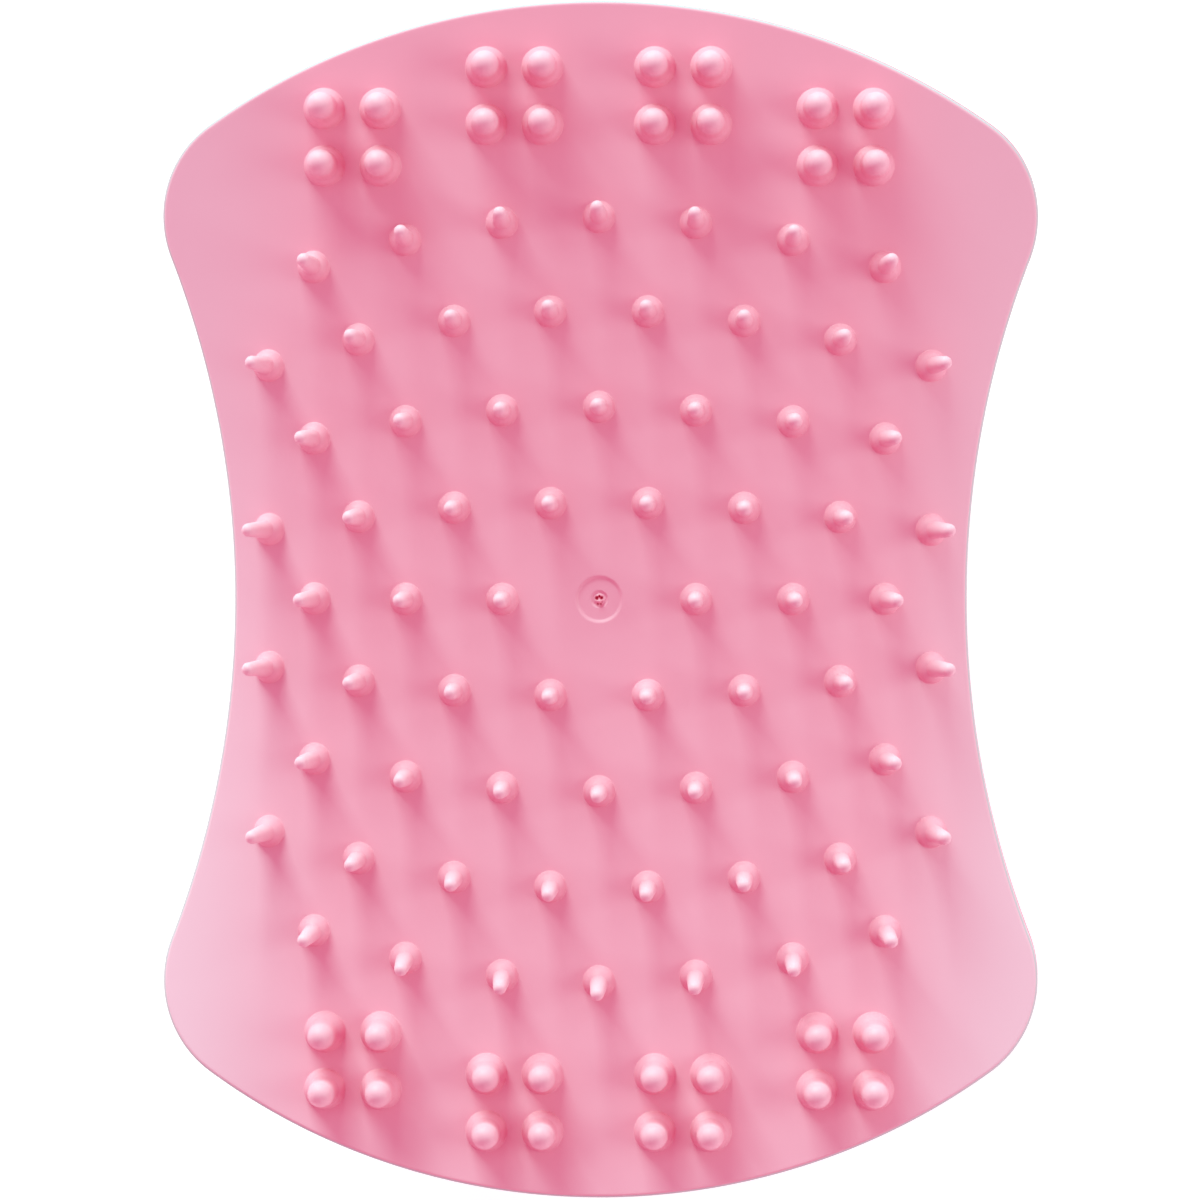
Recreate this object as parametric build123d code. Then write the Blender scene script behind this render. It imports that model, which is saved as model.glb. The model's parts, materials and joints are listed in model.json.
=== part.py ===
from build123d import *
import math
import os

# Scalp massager brush, lying on its back with its teeth up. Millimetres.
# X is the width, Y the length and Z the height. The origin is under the middle, at the flat of the back.

# Outline of the face: two convex end arcs, two concave side arcs and rounded corners
HALF_LENGTH = 47.5
WAIST_HALF_WIDTH = 29.25
END_ARC_RADIUS = 54.0
SIDE_ARC_RADIUS = 75.0
CORNER_RADIUS = 9.0
LEAST_CORNER_RADIUS = 1.0

# Face surface: it falls away to the sides with the fourth power of x, less towards the ends,
# and rises a little to both ends with the square of y
FACE_HEIGHT = 39.0
SIDE_FALL = 4.64e-6
FALL_FADE_LENGTH = 31.0
END_RISE = 1.0e-3
GRID_HALF_WIDTH = 42.0
GRID_HALF_LENGTH = 54.0
GRID_STEPS = 16
SURFACE_TOLERANCE = 1.0e-3

# Tooth pad, the soft face moulding
PAD_THICKNESS = 2.4
SKIRT_DEPTH = 5.0
SKIRT_WIDTH = 1.8
RIM_RADIUS = 0.9
GATE_RECESS_RADIUS = 1.75
GATE_RECESS_DEPTH = 0.2
GATE_PIT_RADIUS = 0.6
GATE_PIT_DEPTH = 0.45

# Carrier plate, the stiff plate under the pad
PLATE_THICKNESS = 1.8
PLATE_RIM_WIDTH = 2.6
SEAM_GAP = 0.1
FACE_GAP = 0.05
RIB_THICKNESS = 1.4
RIB_DEPTH = 5.0
RIB_SPACING_X = 15.0
RIB_SPACING_Y = 22.0
HOOK_SPACING_Y = 17.0
HOOK_WIDTH = 6.0
HOOK_THICKNESS = 1.5
HOOK_LENGTH = 9.0
BARB_REACH = 1.0
BARB_HEIGHT = 2.0
HOOK_GAP = 0.15
HOOK_INSET = 6.8
RIB_EDGE_GAP = 5.6

# Back shell, the hard palm grip: height above the flat, and share of the face outline at that height
SHELL_WALL = 2.4
BACK_PROFILE = [
    (0.0, 0.50),
    (0.8, 0.62),
    (3.0, 0.73),
    (6.5, 0.80),
    (12.0, 0.85),
    (16.5, 0.864),
    (20.5, 0.888),
    (24.0, 0.93),
    (27.2, 0.974),
    (30.0, 0.995),
    (33.0, 1.0),
    (38.0, 1.0),
    (46.0, 1.0),
]
COLUMN_HEIGHT = BACK_PROFILE[-1][0]
GROOVE_WIDTH = 0.5
GROOVE_DEPTH = 0.4
CATCH_REACH = 8.0
CATCH_WIDTH = 8.0
CATCH_HEIGHT = 2.5

# Teeth: a round root, a stem and a round tip. The root turns in a socket of the pad.
THIN_ROOT_RADIUS = 1.235
THIN_STEM_RADII = (0.7, 0.53)
THIN_HEIGHT = 5.2
THICK_ROOT_RADIUS = 1.6
THICK_STEM_RADII = (1.18, 1.02)
THICK_HEIGHT = 4.0
SOCKET_CLEARANCE = 0.05

# Thin teeth stand in nine bowed rows. Each row: name, y on the centre line, bow in 1/mm, and the x of
# its teeth on one side. A tooth at x = 0 stands alone, and the others stand in mirrored pairs.
ODD_ROW_X = (0.0, 7.68, 15.36, 22.65)
MIDDLE_ROW_X = ODD_ROW_X[1:]
EVEN_ROW_X = (3.87, 11.5, 19.1, 26.3)
THIN_ROWS = [
    ("row_1", 30.3, 0.00773, ODD_ROW_X),
    ("row_2", 22.9, 0.00635, EVEN_ROW_X),
    ("row_3", 15.25, 0.0049, ODD_ROW_X),
    ("row_4", 7.66, 0.00314, EVEN_ROW_X),
    ("row_5", 0.0, 0.0, MIDDLE_ROW_X),
    ("row_6", -7.66, 0.00314, EVEN_ROW_X),
    ("row_7", -15.25, 0.0049, ODD_ROW_X),
    ("row_8", -22.9, 0.00635, EVEN_ROW_X),
    ("row_9", -30.3, 0.00773, ODD_ROW_X),
]
THIN_LENGTHWISE_LEAN = 1.8e-4

# Thick teeth stand two by two in four clusters at each end: x and y of a cluster's middle
CLUSTER_MIDDLES = {"inner": (6.675, 39.875), "outer": (19.525, 36.6)}
CLUSTER_HALF_PITCH_X = 2.225
CLUSTER_HALF_PITCH_Y = 2.26
THICK_LENGTHWISE_LEAN = 0.09


def face_z(x, y):
    """Height of the pad's face."""
    fall = SIDE_FALL * x**4 / (1 + (y / FALL_FADE_LENGTH) ** 2)
    return FACE_HEIGHT - fall + END_RISE * y**2


def side_lean(x, y):
    """How far a tooth leans outwards in x per unit of height: it stands square to the face across it."""
    return 4 * SIDE_FALL * x**3 / (1 + (y / FALL_FADE_LENGTH) ** 2)


def outline(share=1.0, inset=0.0):
    """The face outline, drawn at a share of its size and then moved inwards by inset."""
    half_length = HALF_LENGTH * share - inset
    waist = WAIST_HALF_WIDTH * share - inset
    end_radius = END_ARC_RADIUS * share - inset
    side_radius = SIDE_ARC_RADIUS * share + inset
    end_centre = half_length - end_radius
    side_centre = waist + side_radius
    shape = Pos(0, end_centre) * Circle(end_radius) & Pos(0, -end_centre) * Circle(end_radius)
    shape -= Pos(side_centre, 0) * Circle(side_radius)
    shape -= Pos(-side_centre, 0) * Rot(0, 0, 180) * Circle(side_radius)
    return fillet(shape.vertices(), max(CORNER_RADIUS * share - inset, LEAST_CORNER_RADIUS))


def prism(share=1.0, inset=0.0):
    """A straight column with the face outline, taller than the brush."""
    return extrude(outline(share, inset), COLUMN_HEIGHT)


def slab(top, bottom):
    """The layer between two depths below the face."""
    points = [
        [
            (x, y, face_z(x, y) - top)
            for x in (GRID_HALF_WIDTH * (2 * i / GRID_STEPS - 1) for i in range(GRID_STEPS + 1))
        ]
        for y in (GRID_HALF_LENGTH * (2 * j / GRID_STEPS - 1) for j in range(GRID_STEPS + 1))
    ]
    surface = Face.make_surface_from_array_of_points(points, tol=SURFACE_TOLERANCE, min_deg=3, max_deg=8)
    return extrude(surface, amount=bottom - top, dir=(0, 0, -1))


def palm_form(inset=0.0):
    """The closed palm-grip form, from the flat of the back to above the face, or its inner form."""
    sections = []
    for index, (height, share) in enumerate(BACK_PROFILE):
        below = BACK_PROFILE[max(index - 1, 0)]
        above = BACK_PROFILE[min(index + 1, len(BACK_PROFILE) - 1)]
        rise = above[0] - below[0]
        run = (above[1] - below[1]) * WAIST_HALF_WIDTH
        slope = math.hypot(rise, run)
        lift, push = inset * run / slope, inset * rise / slope
        sections.append(Pos(0, 0, height + lift) * outline(share, push))
    return loft(sections)


def tooth(root_radius, stem_radii, height):
    """One tooth on the Z axis, with the middle of its round root at the origin."""
    foot, neck = stem_radii
    shoulder_z = math.sqrt(root_radius**2 - foot**2)
    neck_z = height - neck
    half = math.sqrt(0.5)
    profile = Polyline((0, 0, height), (0, 0, -root_radius))
    profile += ThreePointArc((0, 0, -root_radius), (root_radius, 0, 0), (foot, 0, shoulder_z))
    profile += Line((foot, 0, shoulder_z), (neck, 0, neck_z))
    profile += ThreePointArc((neck, 0, neck_z), (neck * half, 0, neck_z + neck * half), (0, 0, height))
    return revolve(make_face(profile), Axis.Z)


def stand(shape, x, y, lengthwise_lean):
    """Puts a tooth on the face at x, y, with its lean outwards."""
    axis = Vector(side_lean(x, y), math.copysign(lengthwise_lean, y), 1)
    place = Plane(origin=(x, y, face_z(x, y)), x_dir=(1, 0, -axis.X), z_dir=axis)
    return place.location * shape


def tooth_groups():
    """Every group of teeth that turns about one line: its name, root radius and teeth."""
    thin = tooth(THIN_ROOT_RADIUS, THIN_STEM_RADII, THIN_HEIGHT)
    thick = tooth(THICK_ROOT_RADIUS, THICK_STEM_RADII, THICK_HEIGHT)
    groups = []
    for row, middle_y, bow, places in THIN_ROWS:
        for number, x in enumerate(places, start=1):
            y = middle_y - math.copysign(bow * x**2, middle_y)
            sides = (x,) if x == 0 else (-x, x)
            teeth = [stand(thin, side, y, THIN_LENGTHWISE_LEAN * y**2) for side in sides]
            kind = "thin_tooth" if x == 0 else "thin_teeth"
            groups.append((f"{kind}_{row}_{number}", THIN_ROOT_RADIUS, [(s, y) for s in sides], teeth))
    for end, sign in (("top", 1), ("bottom", -1)):
        for cluster, (middle_x, middle_y) in CLUSTER_MIDDLES.items():
            number = 0
            for step_y in (CLUSTER_HALF_PITCH_Y, -CLUSTER_HALF_PITCH_Y):
                for step_x in (-CLUSTER_HALF_PITCH_X, CLUSTER_HALF_PITCH_X):
                    number += 1
                    x, y = middle_x + step_x, sign * (middle_y + step_y)
                    teeth = [stand(thick, side, y, THICK_LENGTHWISE_LEAN) for side in (-x, x)]
                    name = f"thick_teeth_{end}_{cluster}_{number}"
                    groups.append((name, THICK_ROOT_RADIUS, [(-x, y), (x, y)], teeth))
    return groups


def tooth_pad(groups):
    """The soft face moulding: a curved sheet with a skirt, a gate mark and a socket for each tooth root."""
    pad = prism() & slab(0, SKIRT_DEPTH)
    face = pad.faces().sort_by(Axis.Z)[-1]
    pad = fillet(face.edges(), RIM_RADIUS)
    pad -= prism(inset=SKIRT_WIDTH) & slab(PAD_THICKNESS, SKIRT_DEPTH + 1)
    pad -= Pos(0, 0, FACE_HEIGHT) * Cylinder(GATE_RECESS_RADIUS, 2 * GATE_RECESS_DEPTH)
    pad -= Pos(0, 0, FACE_HEIGHT) * Cylinder(GATE_PIT_RADIUS, 2 * GATE_PIT_DEPTH)
    sockets = [
        Pos(x, y, face_z(x, y)) * Sphere(root_radius + SOCKET_CLEARANCE)
        for name, root_radius, places, teeth in groups
        for x, y in places
    ]
    return pad - sockets


def hook_places():
    """For each snap hook: its side, the x of its leg's outer face, its y and the height of its lower end."""
    places = []
    for side in (-1, 1):
        for step in (-1, 0, 1):
            y = step * HOOK_SPACING_Y
            side_x = WAIST_HALF_WIDTH + SIDE_ARC_RADIUS - math.sqrt(SIDE_ARC_RADIUS**2 - y**2)
            x = side_x - HOOK_INSET
            underside = face_z(x, y) - PAD_THICKNESS - FACE_GAP - PLATE_THICKNESS
            places.append((side, x, y, underside - HOOK_LENGTH))
    return places


def block(side, x_range, y_middle, width, z_range):
    """A box from x to x on one side of the brush, and from z to z."""
    (x_low, x_high), (z_low, z_high) = x_range, z_range
    middle = Pos(side * (x_low + x_high) / 2, y_middle, (z_low + z_high) / 2)
    return middle * Box(x_high - x_low, width, z_high - z_low)


def carrier_plate():
    """The stiff plate under the pad, with a rim, ribs and snap hooks."""
    inset = SKIRT_WIDTH + SEAM_GAP
    top = PAD_THICKNESS + FACE_GAP
    plate = prism(inset=inset) & slab(top, top + PLATE_THICKNESS)
    plate += (prism(inset=inset) - prism(inset=inset + PLATE_RIM_WIDTH)) & slab(top, SKIRT_DEPTH)
    ribs = [
        Pos(0, y, COLUMN_HEIGHT / 2) * Box(2 * GRID_HALF_WIDTH, RIB_THICKNESS, COLUMN_HEIGHT)
        for y in (-RIB_SPACING_Y, 0, RIB_SPACING_Y)
    ]
    ribs += [
        Pos(x, 0, COLUMN_HEIGHT / 2) * Box(RIB_THICKNESS, 2 * GRID_HALF_LENGTH, COLUMN_HEIGHT)
        for x in (-RIB_SPACING_X, RIB_SPACING_X)
    ]
    rib_room = prism(inset=inset + RIB_EDGE_GAP) & slab(top, top + PLATE_THICKNESS + RIB_DEPTH)
    for rib in ribs:
        plate += rib & rib_room
    for side, x, y, low in hook_places():
        plate += block(side, (x - HOOK_THICKNESS, x), y, HOOK_WIDTH, (low, low + HOOK_LENGTH + FACE_GAP))
        plate += block(side, (x, x + BARB_REACH), y, HOOK_WIDTH, (low, low + BARB_HEIGHT))
    return plate


def back_shell():
    """The hollow palm grip, with a fine groove at its seam and a catch for each snap hook."""
    solid_form = palm_form()
    shell = solid_form - palm_form(inset=SHELL_WALL)
    for side, x, y, low in hook_places():
        foot = low + BARB_HEIGHT + HOOK_GAP
        catch = block(side, (x + HOOK_GAP, x + CATCH_REACH), y, CATCH_WIDTH, (foot, foot + CATCH_HEIGHT))
        shell += catch & solid_form
    shell &= slab(SKIRT_DEPTH + FACE_GAP, SKIRT_DEPTH + COLUMN_HEIGHT)
    groove = prism(inset=-GROOVE_DEPTH) - prism(inset=GROOVE_DEPTH)
    return shell - (groove & slab(SKIRT_DEPTH, SKIRT_DEPTH + GROOVE_WIDTH))


groups = tooth_groups()
os.makedirs("parts", exist_ok=True)
export_step(tooth_pad(groups), "parts/tooth_pad.step")
export_step(carrier_plate(), "parts/carrier_plate.step")
export_step(back_shell(), "parts/back_shell.step")
for name, root_radius, places, teeth in groups:
    export_step(Compound(children=teeth), f"parts/{name}.step")
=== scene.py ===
import json
import math

import bmesh
import bpy
import numpy as np
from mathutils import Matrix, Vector


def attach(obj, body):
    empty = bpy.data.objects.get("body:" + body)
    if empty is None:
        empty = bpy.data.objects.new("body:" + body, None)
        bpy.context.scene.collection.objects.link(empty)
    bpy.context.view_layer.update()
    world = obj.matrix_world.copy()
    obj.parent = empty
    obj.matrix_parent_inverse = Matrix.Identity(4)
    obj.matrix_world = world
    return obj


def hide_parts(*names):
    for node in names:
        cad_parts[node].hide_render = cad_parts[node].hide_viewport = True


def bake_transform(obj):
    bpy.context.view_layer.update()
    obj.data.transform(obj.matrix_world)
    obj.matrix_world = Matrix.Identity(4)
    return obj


# Scalp massager brush, lying on its back with its teeth up. Metres, in the CAD frame.

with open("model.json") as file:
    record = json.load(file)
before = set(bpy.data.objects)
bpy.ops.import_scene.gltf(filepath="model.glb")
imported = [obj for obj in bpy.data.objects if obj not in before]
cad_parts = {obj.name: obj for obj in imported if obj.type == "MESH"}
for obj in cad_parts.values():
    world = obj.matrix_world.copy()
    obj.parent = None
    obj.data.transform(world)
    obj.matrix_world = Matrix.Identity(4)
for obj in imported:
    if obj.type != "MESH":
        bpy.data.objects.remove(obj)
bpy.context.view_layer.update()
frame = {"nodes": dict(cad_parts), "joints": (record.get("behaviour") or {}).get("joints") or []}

MM = 0.001

# Outline of the face and shape of its surface, as in the CAD model
HALF_LENGTH = 47.5 * MM
WAIST_HALF_WIDTH = 29.25 * MM
END_ARC_RADIUS = 54.0 * MM
SIDE_ARC_RADIUS = 75.0 * MM
CORNER_RADIUS = 9.0 * MM
FACE_HEIGHT = 39.0 * MM
SIDE_FALL = 4.64e-6 / MM**3
FALL_FADE_LENGTH = 31.0 * MM
END_RISE = 1.0e-3 / MM
OUTLINE_SPACING = 0.6 * MM

# Tooth pad. The rings of its mesh are counted, or placed by shares of the way across a part of it.
PAD_THICKNESS = 2.4 * MM
SKIRT_DEPTH = 5.0 * MM
SKIRT_WIDTH = 1.8 * MM
SKIRT_SHARES = (0.04, 0.08, 0.33, 0.66)
PAD_INSET = 0.12 * MM
FACE_RINGS = 44
UNDERSIDE_SHARES = (0.8, 0.6, 0.4, 0.2)
RIM_RADIUS = 0.32 * MM
RIM_RINGS = 13
RIM_INSET = 1.6 * MM
RIM_INSET_SHARES = (0.75, 0.5, 0.3)
LOWER_EDGE_RADIUS = 0.25 * MM
LOWER_EDGE_RINGS = 5
# Painted shade on the outer side of the rim, where its roundover turns away from the lamps: where
# round the rim it starts, and how far on it is full
RIM_SHADE_START = math.radians(28)
RIM_SHADE_SPREAD = math.radians(14)
# Painted light: the face is made paler towards its sides and towards -Y, where it catches more
# light.
# Where that starts and how wide it fades in, its share at the middle of the length, and the length
# over which that share would fall by 1 towards +Y
SIDE_LIGHT_START = 20.0 * MM
SIDE_LIGHT_SPREAD = 14.0 * MM
SIDE_LIGHT_MIDDLE_SHARE = 0.8
SIDE_LIGHT_FALL = 240.0 * MM

# Gate mark: a shallow recess with a moat round the torn stub of the gate
GATE_RADIUS = 1.75 * MM
GATE_DEPTH = 0.16 * MM
GATE_WALL = 0.16 * MM
GATE_ZONE = 1.6 * GATE_RADIUS
GATE_RINGS = 64
NUB_RADIUS = 0.42 * MM
NUB_HEIGHT = 0.16 * MM
NUB_MOAT = 0.12 * MM
NUB_TOP_RADIUS = 0.45 * NUB_RADIUS
NUB_WALL = 0.5 * NUB_RADIUS
MOAT_RADIUS = 1.25 * NUB_RADIUS
# Depth of a pit of the torn stub at which the painted shade in it is full
PIT_SHADE_DEPTH = 0.15 * MM
# Small pits and bumps of the torn stub: x, y, radius and height, in millimetres
TORN_MARKS = [
    (-0.19, 0.07, 0.13, -0.36),
    (0.17, 0.09, 0.12, -0.36),
    (0.0, 0.22, 0.09, -0.26),
    (0.03, -0.14, 0.17, 0.12),
    (0.2, -0.22, 0.07, -0.14),
    (-0.12, -0.36, 0.09, -0.16),
    (0.1, -0.37, 0.09, -0.16),
]

# Back shell
SHELL_WALL = 2.4 * MM
FACE_GAP = 0.05 * MM
GROOVE_WIDTH = 0.5 * MM
GROOVE_DEPTH = 0.4 * MM
BACK_HEIGHTS = [h * MM for h in (0, 0.8, 3, 6.5, 12, 16.5, 20.5, 24, 27.2, 30, 33, 38)]
BACK_SHARES = [0.50, 0.62, 0.73, 0.80, 0.85, 0.864, 0.888, 0.93, 0.974, 0.995, 1.0, 1.0]
FLAT_SHARES = (0.25, 0.5, 0.75, 0.92)
OUTSIDE_RINGS = 80
OUTSIDE_CROWDING = 1.6
INSIDE_RINGS = 30
# Rings of the groove: shares of its depth and of its width
GROOVE_STEPS = ((0.3, 0.08), (1.0, 0.15), (1.0, 0.6), (1.0, 1.0))

# Teeth: stem radii at the foot and the tip, and the rounded corners at the pad and the stem's foot
THIN_STEM = (0.71 * MM, 0.53 * MM)
THICK_STEM = (1.19 * MM, 1.02 * MM)
THICK_FROM_ROOT_RADIUS = 1.4 * MM
FOOT_FILLET = 0.15 * MM
STEM_FILLET = 0.1 * MM
STEM_SHARES = (0.25, 0.5, 0.75, 1.0)
FILLET_RINGS = 6
ROOT_RINGS = 8
TIP_RINGS = 10
TOOTH_SEGMENTS = 40
TIP_LEDGE = 0.06
SINK = 0.015 * MM
# The part of a tooth inside the pad, in root radii, and its collar as a share of the foot's radius
BOTTOM_RADIUS, BOTTOM_DEPTH, COLLAR_DEPTH = 0.5, 0.8, 0.5
COLLAR_SHARE = 0.95
# Heights in root radii where a tooth stops following the face and where it is square to its axis
FACE_REACH, AXIS_REACH = 0.8, 0.9
# Painted light on the tips, standing in for light that shines through them and falls on their
# tops: how pale, and the shares of the stem's length where it starts and is full
THIN_TIP_LIGHT = (0.8, -0.15, 0.45)
THICK_TIP_LIGHT = (0.5, 0.5, 0.95)


def face_z(x, y):
    """Height of the pad's face."""
    fall = SIDE_FALL * x**4 / (1 + (y / FALL_FADE_LENGTH) ** 2)
    return FACE_HEIGHT - fall + END_RISE * y**2


def face_normal(x, y):
    """The direction square to the pad's face."""
    fade = 1 + (y / FALL_FADE_LENGTH) ** 2
    slope_x = -4 * SIDE_FALL * x**3 / fade
    slope_y = 2 * END_RISE * y + SIDE_FALL * x**4 * 2 * y / FALL_FADE_LENGTH**2 / fade**2
    return Vector((-slope_x, -slope_y, 1)).normalized()


def face_height(points):
    """Height of the pad's face at each of a list of points."""
    return face_z(points[:, 0], points[:, 1])


def smooth(t):
    """Goes gently from 0 at t = 0 to 1 at t = 1."""
    t = np.clip(t, 0, 1)
    return t * t * (3 - 2 * t)


# ---------------------------------------------------------------- outline


def arc(centre, radius, start, stop, spacing, outwards):
    """Points on an arc and the directions square to it; the last point is left to the next arc."""
    count = max(2, round(abs(stop - start) * radius / spacing))
    angles = start + (stop - start) * np.arange(count) / count
    spokes = np.stack([np.cos(angles), np.sin(angles)], axis=1)
    return np.array(centre) + radius * spokes, outwards * spokes


def bearing(offset):
    """The angle of a direction, anticlockwise from +X."""
    return math.atan2(offset[1], offset[0])


def quarter_outline(spacing):
    """From the waist at +X to the end at +Y: side arc, corner and end arc."""
    side = np.array([WAIST_HALF_WIDTH + SIDE_ARC_RADIUS, 0.0])
    end = np.array([0.0, HALF_LENGTH - END_ARC_RADIUS])
    reach_side, reach_end = SIDE_ARC_RADIUS + CORNER_RADIUS, END_ARC_RADIUS - CORNER_RADIUS
    gap = end - side
    distance = np.hypot(*gap)
    along = (reach_side**2 - reach_end**2 + distance**2) / (2 * distance)
    across = math.sqrt(reach_side**2 - along**2)
    unit = gap / distance
    corner = side + along * unit + across * np.array([unit[1], -unit[0]])
    side_stop, end_start = bearing(corner - side), bearing(corner - end)
    pieces = [
        arc(side, SIDE_ARC_RADIUS, math.pi, side_stop, spacing, -1),
        arc(corner, CORNER_RADIUS, side_stop - math.pi, end_start, spacing / 2, 1),
        arc(end, END_ARC_RADIUS, end_start, math.pi / 2, spacing, 1),
    ]
    return [np.concatenate(column) for column in zip(*pieces)]


def full_outline(spacing):
    """The closed outline, anticlockwise from the waist at +X, with the directions out of it."""
    points, normals = quarter_outline(spacing)
    loops = []
    for first, apex, waist in (
        (points, (0.0, HALF_LENGTH), (-WAIST_HALF_WIDTH, 0.0)),
        (normals, (0.0, 1.0), (-1.0, 0.0)),
    ):
        mirrored = first[:0:-1] * (-1, 1)
        upper = np.concatenate([first, [apex], mirrored, [waist]])
        lower = -upper[1:-1]
        loops.append(np.concatenate([upper, lower]))
    return loops


OUTLINE, OUTWARDS = full_outline(OUTLINE_SPACING)


def at_height(points, heights):
    """Flat points lifted to one height, or each to its own."""
    heights = np.broadcast_to(heights, len(points))
    return np.column_stack([points, heights])


# ---------------------------------------------------------------- meshes


def ring_mesh(name, rings):
    """A closed mesh through rings of as many points each; a ring of one point is a pole."""
    vertices, starts, faces = [], [], []
    for ring in rings:
        starts.append(len(vertices))
        vertices.extend(map(tuple, ring))
    for index in range(len(rings) - 1):
        low, high = starts[index], starts[index + 1]
        low_count, high_count = len(rings[index]), len(rings[index + 1])
        count = max(low_count, high_count)
        for k in range(count):
            following = (k + 1) % count
            if low_count == 1:
                faces.append((low, high + following, high + k))
            elif high_count == 1:
                faces.append((low + k, low + following, high))
            else:
                faces.append((low + k, low + following, high + following, high + k))
    mesh = bpy.data.meshes.new(name)
    mesh.from_pydata(vertices, [], faces)
    mesh.shade_smooth()
    piece = bpy.data.objects.new(name, mesh)
    bpy.context.scene.collection.objects.link(piece)
    return piece


def add_attribute(piece, name, values):
    """Gives each vertex a number that a material can read; vertices past the last value get 0."""
    values = values + [0.0] * (len(piece.data.vertices) - len(values))
    piece.data.attributes.new(name, "FLOAT", "POINT").data.foreach_set("value", values)


def arc_points(centre, radius, start, stop, count):
    """Points on an arc in a plane, with its ends in degrees."""
    angles = np.radians(np.linspace(start, stop, count))
    return [(centre[0] + radius * math.cos(a), centre[1] + radius * math.sin(a)) for a in angles]


def turn_outwards(piece):
    """Makes a closed mesh's faces look outwards."""
    work = bmesh.new()
    work.from_mesh(piece.data)
    bmesh.ops.recalc_face_normals(work, faces=work.faces)
    work.to_mesh(piece.data)
    work.free()


# ---------------------------------------------------------------- pad


def gate_height(radius):
    """Height of the gate mark over the face: a shallow round recess with the stub of the gate."""
    recess = -GATE_DEPTH * (1 - smooth((radius - GATE_RADIUS + GATE_WALL) / (2 * GATE_WALL)))
    moat = -NUB_MOAT * (1 - smooth(np.abs(radius - MOAT_RADIUS) / NUB_WALL))
    nub = NUB_HEIGHT * (1 - smooth((radius - NUB_TOP_RADIUS) / NUB_WALL))
    return recess + moat + nub


def torn_height(points):
    """Height of the pits and bumps of the torn stub."""
    total = np.zeros(len(points))
    for x, y, radius, height in TORN_MARKS:
        away = np.hypot(points[:, 0] - x * MM, points[:, 1] - y * MM) / (radius * MM)
        total += height * MM * np.exp(-(away**2))
    return total


def painted_side_light_share(place):
    """How much painted side light shows at a place on the pad."""
    across = float(smooth((abs(place.x) - SIDE_LIGHT_START) / SIDE_LIGHT_SPREAD))
    return across * (SIDE_LIGHT_MIDDLE_SHARE - place.y / SIDE_LIGHT_FALL)


def face_rings(edge):
    """Rings over the face, from the gate mark to the rim, and how much painted shade each point
    gets in the pits of the torn stub.
    """
    inner = edge - RIM_INSET * OUTWARDS
    reach = np.hypot(inner[:, 0], inner[:, 1])
    spokes = inner / reach[:, None]
    rings = [[(0.0, 0.0, FACE_HEIGHT + float(gate_height(0.0)))]]
    pit_shades = [0.0]
    for radius in np.linspace(0, GATE_ZONE**0.5, GATE_RINGS)[1:] ** 2:
        points = spokes * radius
        torn = torn_height(points)
        # Painted shade: the pits of the torn stub are darkened by their depth
        pit_shades += list(np.clip(-torn / PIT_SHADE_DEPTH, 0, 1))
        rings.append(at_height(points, face_height(points) + gate_height(radius) + torn))
    for share in np.linspace(0, 1, FACE_RINGS)[1:]:
        points = spokes * (GATE_ZONE + (reach - GATE_ZONE) * share)[:, None]
        rings.append(at_height(points, face_height(points)))
    for share in RIM_INSET_SHARES:
        points = edge - RIM_INSET * share * OUTWARDS
        rings.append(at_height(points, face_height(points)))
    return rings, pit_shades


def side_rings(edge, foot):
    """Rings round the rim and down the skirt, and how much painted shade each point gets on the
    rim's outer side.
    """
    rings, rim_shades = [], []
    for angle in np.radians(np.linspace(0, 90, RIM_RINGS)):
        rim_shades += [float(smooth((angle - RIM_SHADE_START) / RIM_SHADE_SPREAD))] * len(OUTLINE)
        points = edge - RIM_RADIUS * (1 - math.sin(angle)) * OUTWARDS
        drop = RIM_RADIUS * (1 - math.cos(angle))
        rings.append(at_height(points, face_height(points) - drop))
    for share in SKIRT_SHARES:
        rim_shades += [1.0 if share == SKIRT_SHARES[0] else 0.0] * len(OUTLINE)
        rings.append(at_height(edge, foot + (1 - share) * (SKIRT_DEPTH - RIM_RADIUS)))
    return rings, rim_shades


def underside_rings(edge, foot):
    """Rings round the skirt's lower edge, up its inside and over the underside to the middle."""
    rings = []
    for angle in np.radians(np.linspace(0, 90, LOWER_EDGE_RINGS)):
        inset = LOWER_EDGE_RADIUS * (1 - math.cos(angle))
        lift = LOWER_EDGE_RADIUS * (1 - math.sin(angle))
        rings.append(at_height(edge - inset * OUTWARDS, foot + lift))
    under = OUTLINE - SKIRT_WIDTH * OUTWARDS
    rings.append(at_height(under, foot))
    for share in (1.0, *UNDERSIDE_SHARES):
        points = under * share
        rings.append(at_height(points, face_height(points) - PAD_THICKNESS))
    rings.append([(0.0, 0.0, FACE_HEIGHT - PAD_THICKNESS)])
    return rings


def build_pad():
    """The soft face moulding, with its rolled rim, skirt and gate mark."""
    edge = OUTLINE - PAD_INSET * OUTWARDS
    foot = face_height(edge) - SKIRT_DEPTH
    face, pit_shades = face_rings(edge)
    side, rim_shades = side_rings(edge, foot)
    piece = ring_mesh("pad_moulding", face + side + underside_rings(edge, foot))
    add_attribute(piece, "painted_pit_shade", pit_shades)
    # Painted shade on the outer side of the rim and the top of the skirt
    add_attribute(piece, "painted_rim_shade", [0.0] * sum(map(len, face)) + rim_shades)
    # Painted light: the pad's sides and its end at -Y are made paler, where they catch more light
    add_attribute(piece, "painted_side_light", [painted_side_light_share(vertex.co) for vertex in piece.data.vertices])
    return piece


# ---------------------------------------------------------------- back shell


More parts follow.
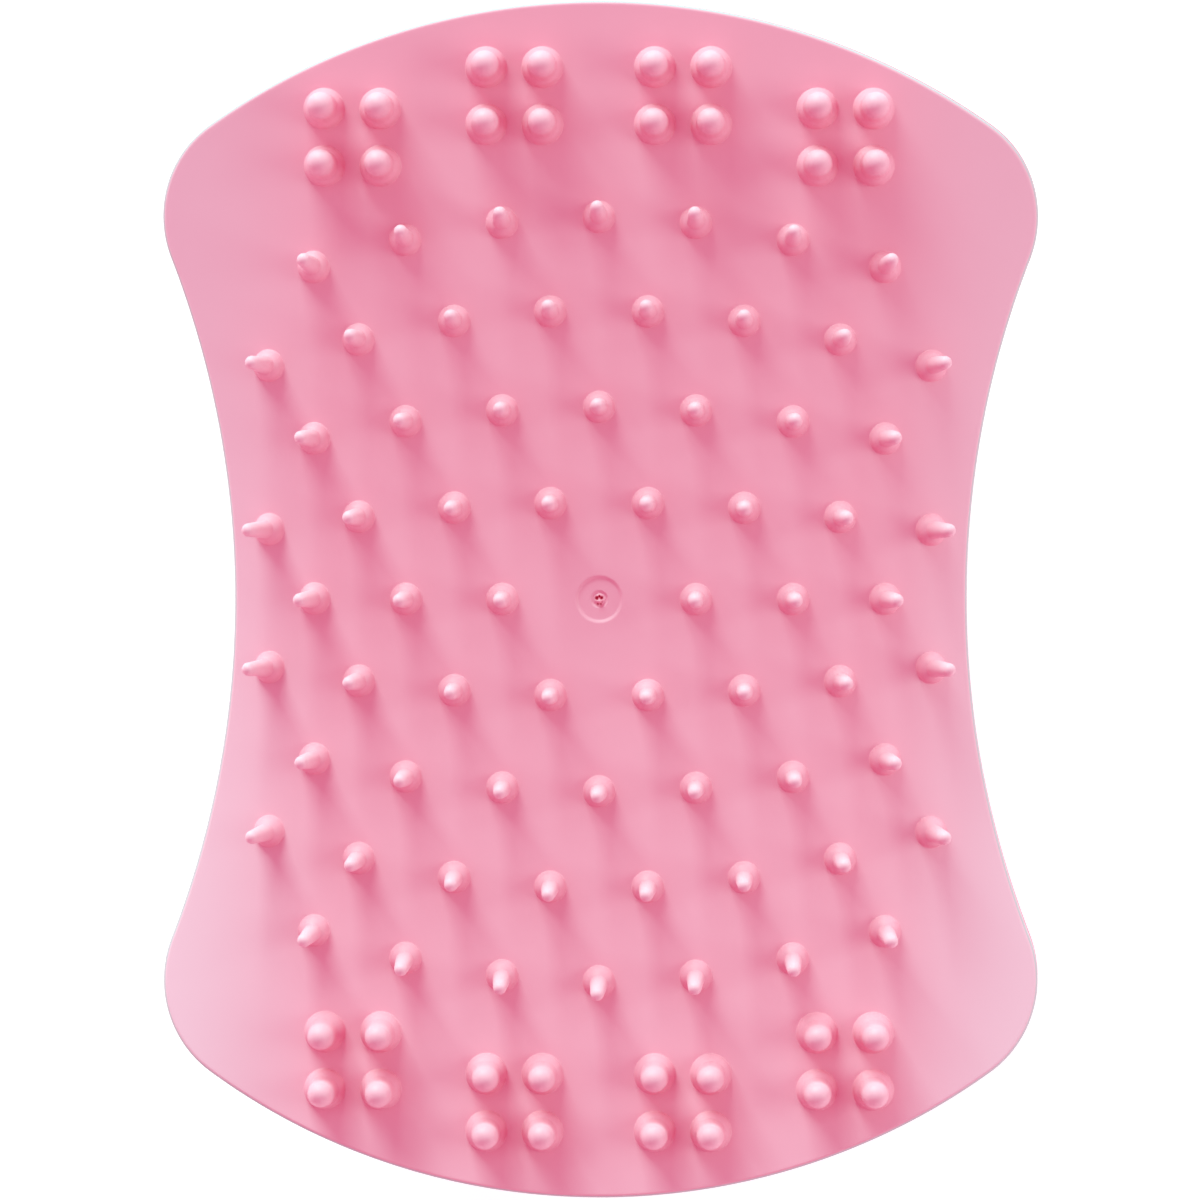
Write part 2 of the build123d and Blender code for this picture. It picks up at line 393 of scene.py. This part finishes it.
def back_share(height):
    """Share of the face outline at a height of the back, by a cubic that doesn't overshoot."""
    heights, shares = np.array(BACK_HEIGHTS), np.array(BACK_SHARES)
    steps = np.diff(shares) / np.diff(heights)
    slopes = np.zeros(len(shares))
    for k in range(1, len(shares) - 1):
        before, after = steps[k - 1], steps[k]
        if before * after > 0:
            slopes[k] = 2 * before * after / (before + after)
    slopes[0] = steps[0]
    index = np.clip(np.searchsorted(heights, height) - 1, 0, len(steps) - 1)
    width = heights[index + 1] - heights[index]
    t = np.clip((height - heights[index]) / width, 0, 1)
    rise = 3 * t**2 - 2 * t**3
    leaving, arriving = t**3 - 2 * t**2 + t, t**3 - t**2
    return (
        (1 - rise) * shares[index]
        + leaving * width * slopes[index]
        + rise * shares[index + 1]
        + arriving * width * slopes[index + 1]
    )


def build_shell():
    """The hollow grip, from the middle of its flat up its outside and down its inside."""
    rim = face_height(OUTLINE) - SKIRT_DEPTH - FACE_GAP
    rings = [[(0.0, 0.0, 0.0)]]
    for share in FLAT_SHARES:
        rings.append(at_height(OUTLINE * share * BACK_SHARES[0], 0.0))
    groove_foot = rim - GROOVE_WIDTH
    for step in np.linspace(0, 1, OUTSIDE_RINGS) ** OUTSIDE_CROWDING:
        heights = groove_foot * step
        rings.append(at_height(OUTLINE * back_share(heights)[:, None], heights))
    for inset, height in GROOVE_STEPS:
        points = OUTLINE * back_share(groove_foot)[:, None] - inset * GROOVE_DEPTH * OUTWARDS
        rings.append(at_height(points, groove_foot + height * GROOVE_WIDTH))
    for step in np.linspace(1, 0, INSIDE_RINGS):
        heights = SHELL_WALL + (rim - SHELL_WALL) * step
        points = OUTLINE * back_share(heights - SHELL_WALL * (1 - step))[:, None]
        rings.append(at_height(points - SHELL_WALL * OUTWARDS, heights))
    rings.append([(0.0, 0.0, SHELL_WALL)])
    return ring_mesh("palm_grip", rings)


# ---------------------------------------------------------------- teeth


def tooth_places(node, hinge):
    """For each tooth of a node: the middle of its round root, that root's radius and its tip."""
    points = np.array([v.co for v in frame["nodes"][node].data.vertices], float)
    if "tooth_row" in node:
        teeth = [points]
    else:
        teeth = [points[points[:, 0] < 0], points[points[:, 0] > 0]]
    found = []
    for own in teeth:
        # The root is a ball on the hinge line: a fit to its lower half gives its place and radius
        root = own[own[:, 2] < hinge.z]
        known = (root[:, 1] - hinge.y) ** 2 + (root[:, 2] - hinge.z) ** 2
        table = np.column_stack([2 * root[:, 0], np.ones(len(root))])
        (x, rest), *_ = np.linalg.lstsq(table, root[:, 0] ** 2 + known, rcond=None)
        centre = Vector((x, hinge.y, hinge.z))
        tip = max(own, key=lambda p: (Vector(p) - centre).length)
        found.append((centre, math.sqrt(rest + x**2), Vector(tip)))
    return found


def tooth_profile(root, stem, height):
    """(radius, height) points from under the pad's face to the tip."""
    foot, neck = stem
    spread = math.sqrt(root**2 + 2 * root * FOOT_FILLET)
    touch = math.degrees(math.atan2(FOOT_FILLET, spread))
    shoulder = math.sqrt((root + STEM_FILLET) ** 2 - (foot + STEM_FILLET) ** 2)
    crown = math.degrees(math.atan2(shoulder, foot + STEM_FILLET))
    points = [
        (BOTTOM_RADIUS * root, -BOTTOM_DEPTH * root),
        (COLLAR_SHARE * spread, -COLLAR_DEPTH * root),
    ]
    points += arc_points((spread, FOOT_FILLET), FOOT_FILLET, 270, 180 + touch, FILLET_RINGS)
    points += arc_points((0, 0), root, touch, crown, ROOT_RINGS)[1:-1]
    stem_corner = (foot + STEM_FILLET, shoulder)
    points += arc_points(stem_corner, STEM_FILLET, 180 + crown, 180, FILLET_RINGS)
    neck_height = height - neck
    for share in STEM_SHARES:
        radius = foot + (neck - foot) * share
        points.append((radius, shoulder + (neck_height - shoulder) * share))
    tip_radius = neck * (1 - TIP_LEDGE)
    tip_centre = (0, neck_height + neck - tip_radius)
    points += arc_points(tip_centre, tip_radius, 0, 90, TIP_RINGS)[:-1]
    return points


def above_plane(ring, centre, square):
    """How far the face lies above the flat plane through a root's middle, at a ring's points."""
    slope = (ring[:, 0] - centre.x) * square.x + (ring[:, 1] - centre.y) * square.y
    plane = centre.z - slope / square.z
    return face_height(ring) - plane - SINK


def tooth_rings(centre, root, tip):
    """Rings of one tooth and their painted tip light: square to the face at its foot, to its axis
    above.
    """
    axis = (tip - centre).normalized()
    height = (tip - centre).length
    square = face_normal(centre.x, centre.y)
    thick = root > THICK_FROM_ROOT_RADIUS
    stem = THICK_STEM if thick else THIN_STEM
    tip_light_most, tip_light_from, tip_light_full = THICK_TIP_LIGHT if thick else THIN_TIP_LIGHT
    stem_foot = math.sqrt(root**2 - stem[0] ** 2)
    stem_length = height - stem[1] - stem_foot
    turns = 2 * math.pi * np.arange(TOOTH_SEGMENTS) / TOOTH_SEGMENTS
    rings = [[tuple(centre - square * BOTTOM_DEPTH * root)]]
    painted_tip_light = [0.0]
    for radius, level in tooth_profile(root, stem, height):
        share = ((level - stem_foot) / stem_length - tip_light_from) / (tip_light_full - tip_light_from)
        painted_tip_light += [tip_light_most * float(smooth(share))] * TOOTH_SEGMENTS
        way = square.lerp(axis, float(smooth(level / (AXIS_REACH * root)))).normalized()
        across = Vector((0, 1, 0)).cross(way).normalized()
        along = way.cross(across)
        middle = centre + way * level
        ring = np.array(
            [middle + radius * (math.cos(t) * across + math.sin(t) * along) for t in turns]
        )
        fade = 1 - smooth(level / (FACE_REACH * root))
        ring[:, 2] += above_plane(ring, centre, square) * fade
        rings.append(ring)
    rings.append([tuple(tip)])
    return rings, painted_tip_light + [tip_light_most]


def build_teeth(node, hinge):
    """One piece for all the teeth of a node, and the radius of their roots."""
    parts = []
    for centre, root, tip in tooth_places(node, hinge):
        rings, painted_tip_light = tooth_rings(centre, root, tip)
        part = ring_mesh(node + "_part", rings)
        # The tip attribute carries the painted light on the tips
        add_attribute(part, "tip", painted_tip_light)
        parts.append(part)
    piece = parts[0]
    if len(parts) > 1:
        with bpy.context.temp_override(active_object=piece, selected_editable_objects=parts):
            bpy.ops.object.join()
    piece.name = node + "_moulding"
    return piece, root


# ---------------------------------------------------------------- materials

# Noise in a moulded material, in cells per metre: flow in its colour, uneven gloss, and grain
FLOW_SCALE, GLOSS_SCALE, GRAIN_SCALE = 90.0, 260.0, 9000.0
FLOW_DETAIL, GRAIN_DETAIL = 3.0, 2.0
NOISE_ROUGHNESS = 0.55
# The stretch of a noise's values that holds nearly all of it
NOISE_LOW, NOISE_HIGH = 0.3, 0.7
GRAIN_HEIGHT = 0.02 * MM
PLASTIC_IOR = 1.44


def principled(name):
    """A new node material, with its tree and its shader."""
    material = bpy.data.materials.new(name)
    material.use_nodes = True
    tree = material.node_tree
    return material, tree, tree.nodes["Principled BSDF"]


def noise(tree, scale, detail=FLOW_DETAIL):
    """Noise fixed to the object, with its scale in cells per metre."""
    where = tree.nodes.new("ShaderNodeTexCoord")
    texture = tree.nodes.new("ShaderNodeTexNoise")
    texture.inputs["Scale"].default_value = scale
    texture.inputs["Detail"].default_value = detail
    texture.inputs["Roughness"].default_value = NOISE_ROUGHNESS
    tree.links.new(where.outputs["Object"], texture.inputs["Vector"])
    return texture.outputs["Fac"]


def between(tree, value, low, high):
    """A value from 0 to 1 spread from low to high."""
    spread = tree.nodes.new("ShaderNodeMapRange")
    spread.inputs["From Min"].default_value = NOISE_LOW
    spread.inputs["From Max"].default_value = NOISE_HIGH
    spread.inputs["To Min"].default_value = low
    spread.inputs["To Max"].default_value = high
    tree.links.new(value, spread.inputs["Value"])
    return spread.outputs["Result"]


def moulded(name, light, dark, roughness, grain, painted_tints=()):
    """Moulded plastic or elastomer: faint flow in its colour, uneven gloss and a fine grain.

    Each painted tint is the name of a mesh attribute and a colour of painted light and shade that
    shows as far as it says.
    """
    material, tree, shader = principled(name)
    blend = tree.nodes.new("ShaderNodeMix")
    blend.data_type = "RGBA"
    blend.inputs["A"].default_value = (*light, 1)
    blend.inputs["B"].default_value = (*dark, 1)
    tree.links.new(between(tree, noise(tree, FLOW_SCALE), 0.0, 1.0), blend.inputs["Factor"])
    colour = blend.outputs["Result"]
    for attribute, tint in painted_tints:
        share = tree.nodes.new("ShaderNodeAttribute")
        share.attribute_name = attribute
        fade = tree.nodes.new("ShaderNodeMix")
        fade.data_type = "RGBA"
        fade.inputs["B"].default_value = (*tint, 1)
        tree.links.new(colour, fade.inputs["A"])
        tree.links.new(share.outputs["Fac"], fade.inputs["Factor"])
        colour = fade.outputs["Result"]
    tree.links.new(colour, shader.inputs["Base Color"])
    low, high = roughness
    tree.links.new(between(tree, noise(tree, GLOSS_SCALE), low, high), shader.inputs["Roughness"])
    bump = tree.nodes.new("ShaderNodeBump")
    bump.inputs["Strength"].default_value = grain
    bump.inputs["Distance"].default_value = GRAIN_HEIGHT
    tree.links.new(noise(tree, GRAIN_SCALE, GRAIN_DETAIL), bump.inputs["Height"])
    tree.links.new(bump.outputs["Normal"], shader.inputs["Normal"])
    shader.inputs["IOR"].default_value = PLASTIC_IOR
    return material


PINK = (0.93, 0.345, 0.470)
DEEP_PINK = (0.92, 0.33, 0.452)
# Painted light: paler pink on the pad's sides and towards -Y
PAINTED_SIDE_LIGHT_PINK = (0.885, 0.42, 0.54)
# Painted shade in the pits of the torn gate stub
PIT_SHADE_RED = (0.60, 0.03, 0.09)
# Painted shade on the outer side of the rim and the top of the skirt
RIM_SHADE_GREY = (0.60, 0.42, 0.48)
# Painted shade: the teeth get a slightly darker copy of the pad's pink, which tones down the light
# on their domes
TOOTH_SHADED_PINK = (0.92, 0.315, 0.435)
TOOTH_SHADED_DEEP = (0.91, 0.30, 0.42)
# Painted light on the tips of the teeth
TIP_LIGHT_PINK = (0.94, 0.41, 0.53)
SHELL_PINK = (0.82, 0.245, 0.37)
SHELL_DEEP = (0.81, 0.235, 0.36)
CARRIER_WHITE = (0.78, 0.76, 0.75)
CARRIER_GREY = (0.74, 0.72, 0.71)
# Painted light on the pad's sides, painted shade in the stub's pits and on the rim, and painted
# light on the tips
PAD_PAINTED_LIGHT_AND_SHADE = [("painted_side_light", PAINTED_SIDE_LIGHT_PINK), ("painted_pit_shade", PIT_SHADE_RED), ("painted_rim_shade", RIM_SHADE_GREY)]
TOOTH_PAINTED_LIGHT = [("tip", TIP_LIGHT_PINK)]
# Lowest and highest roughness, and strength of the grain
PAD_FINISH = ((0.56, 0.64), 0.12)
TOOTH_FINISH = ((0.54, 0.62), 0.12)
SHELL_FINISH = ((0.34, 0.42), 0.10)
CARRIER_FINISH = ((0.45, 0.55), 0.15)
soft_pink = moulded("soft_pink_elastomer", PINK, DEEP_PINK, *PAD_FINISH, PAD_PAINTED_LIGHT_AND_SHADE)
tooth_pink = moulded("tooth_elastomer", TOOTH_SHADED_PINK, TOOTH_SHADED_DEEP, *TOOTH_FINISH, TOOTH_PAINTED_LIGHT)
shell_pink = moulded("shell_plastic", SHELL_PINK, SHELL_DEEP, *SHELL_FINISH)
carrier_white = moulded("carrier_plastic", CARRIER_WHITE, CARRIER_GREY, *CARRIER_FINISH)


# ---------------------------------------------------------------- assembly

pad = build_pad()
turn_outwards(pad)
pad.data.materials.append(soft_pink)
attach(pad, "handle")
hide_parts("tooth_pad")

grip = build_shell()
turn_outwards(grip)
grip.data.materials.append(shell_pink)
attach(grip, "handle")
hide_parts("back_shell")

# The carrier is hidden between the two, and keeps its own shape
carrier = frame["nodes"]["carrier_plate"]
carrier.data.materials.clear()
carrier.data.materials.append(carrier_white)

# Each jointed node's teeth are rebuilt as one smooth piece, fitted round its hinge, and the CAD
# teeth are hidden
for joint in frame["joints"]:
    node = joint["child"]
    hinge = Vector(joint["pos_m"])
    teeth, root_radius = build_teeth(node, hinge)
    turn_outwards(teeth)
    teeth.data.materials.append(tooth_pink)
    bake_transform(teeth)
    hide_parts(node)


# ---------------------------------------------------------------- studio

FACE_MIDDLE = Vector((0, 0, FACE_HEIGHT))
FLOOR_FLAT = 0.3
FLOOR_RADIUS = 1.5
FLOOR_BEND = 0.15
FLOOR_BEND_RINGS = 7
FLOOR_SEGMENTS = 64
WALL_HEIGHT = 0.25
FLOOR_COLOUR = (0.6, 0.6, 0.6, 1)
FLOOR_ROUGHNESS = 0.8
FLOOR_GLOW = 0.65
AIR_COLOUR = (0.735, 0.375, 0.55, 1)

# Camera: the point it looks at, where it stands from there, and the width of its frame there
CAMERA_AIM = Vector((0.12 * MM, 0, 41.0 * MM))
CAMERA_RIGHT, CAMERA_UP, CAMERA_DISTANCE = 30.0 * MM, 26.0 * MM, 1.0
FRAME_WIDTH = 94.9 * MM
SENSOR_WIDTH = 36.0
NEAREST_SEEN = 0.01


def floor():
    """A round pale floor that curves up into a low wall, as in a light tent."""
    levels = [(FLOOR_FLAT, 0.0)]
    bend_centre = (FLOOR_RADIUS - FLOOR_BEND, FLOOR_BEND)
    levels += arc_points(bend_centre, FLOOR_BEND, 270, 360, FLOOR_BEND_RINGS)
    levels.append((FLOOR_RADIUS, WALL_HEIGHT))
    turns = 2 * math.pi * np.arange(FLOOR_SEGMENTS) / FLOOR_SEGMENTS
    rings = [[(0.0, 0.0, 0.0)]]
    for radius, height in levels:
        rings.append([(radius * math.cos(t), radius * math.sin(t), height) for t in turns])
    plane = ring_mesh("studio_floor", rings)
    material, _, shader = principled("pale_floor")
    shader.inputs["Base Color"].default_value = FLOOR_COLOUR
    shader.inputs["Roughness"].default_value = FLOOR_ROUGHNESS
    shader.inputs["Emission Color"].default_value = (1, 1, 1, 1)
    shader.inputs["Emission Strength"].default_value = FLOOR_GLOW
    plane.data.materials.append(material)


def softbox(name, azimuth, elevation, distance, size, power, colour):
    """A soft lamp aimed at the face, with its azimuth in degrees from the end at +Y towards -X."""
    light = bpy.data.lights.new(name, "AREA")
    light.shape = "RECTANGLE"
    light.size, light.size_y = size
    light.energy = power
    light.color = colour
    lamp = bpy.data.objects.new(name, light)
    bpy.context.scene.collection.objects.link(lamp)
    turn, rise = math.radians(azimuth), math.radians(elevation)
    level = math.cos(rise)
    way = Vector((-math.sin(turn) * level, math.cos(turn) * level, math.sin(rise)))
    lamp.location = FACE_MIDDLE + way * distance
    lamp.rotation_euler = (-way).to_track_quat("-Z", "Y").to_euler()


def studio():
    """Low softboxes from the end at +Y and from +X, and a warm pink air that fills the shadows."""
    floor()
    softbox(
        "key_softbox", azimuth=20, elevation=14, distance=2.4,
        size=(1.4, 1.0), power=138.0, colour=(0.30, 1.0, 0.76),
    )
    softbox(
        "side_softbox", azimuth=-90, elevation=27, distance=1.2,
        size=(0.7, 0.5), power=7.5, colour=(0.3, 1.0, 0.75),
    )
    world = bpy.data.worlds.new("studio_air")
    bpy.context.scene.world = world
    world.use_nodes = True
    air = world.node_tree.nodes["Background"]
    air.inputs["Color"].default_value = AIR_COLOUR
    air.inputs["Strength"].default_value = 1.0


def camera():
    """Above the face, a little towards +X and +Y, with its picture's top at +Y."""
    data = bpy.data.cameras.new("camera")
    data.sensor_width = SENSOR_WIDTH
    data.lens = SENSOR_WIDTH * CAMERA_DISTANCE / FRAME_WIDTH
    data.clip_start = NEAREST_SEEN
    view = bpy.data.objects.new("camera", data)
    view.location = CAMERA_AIM + Vector((CAMERA_RIGHT, CAMERA_UP, CAMERA_DISTANCE))
    tilt = -math.atan2(CAMERA_UP, CAMERA_DISTANCE)
    swing = math.atan2(CAMERA_RIGHT, CAMERA_DISTANCE)
    view.rotation_euler = (tilt, swing, 0)
    bpy.context.scene.collection.objects.link(view)
    bpy.context.scene.camera = view


studio()
camera()
bpy.context.scene.view_settings.view_transform = "Standard"
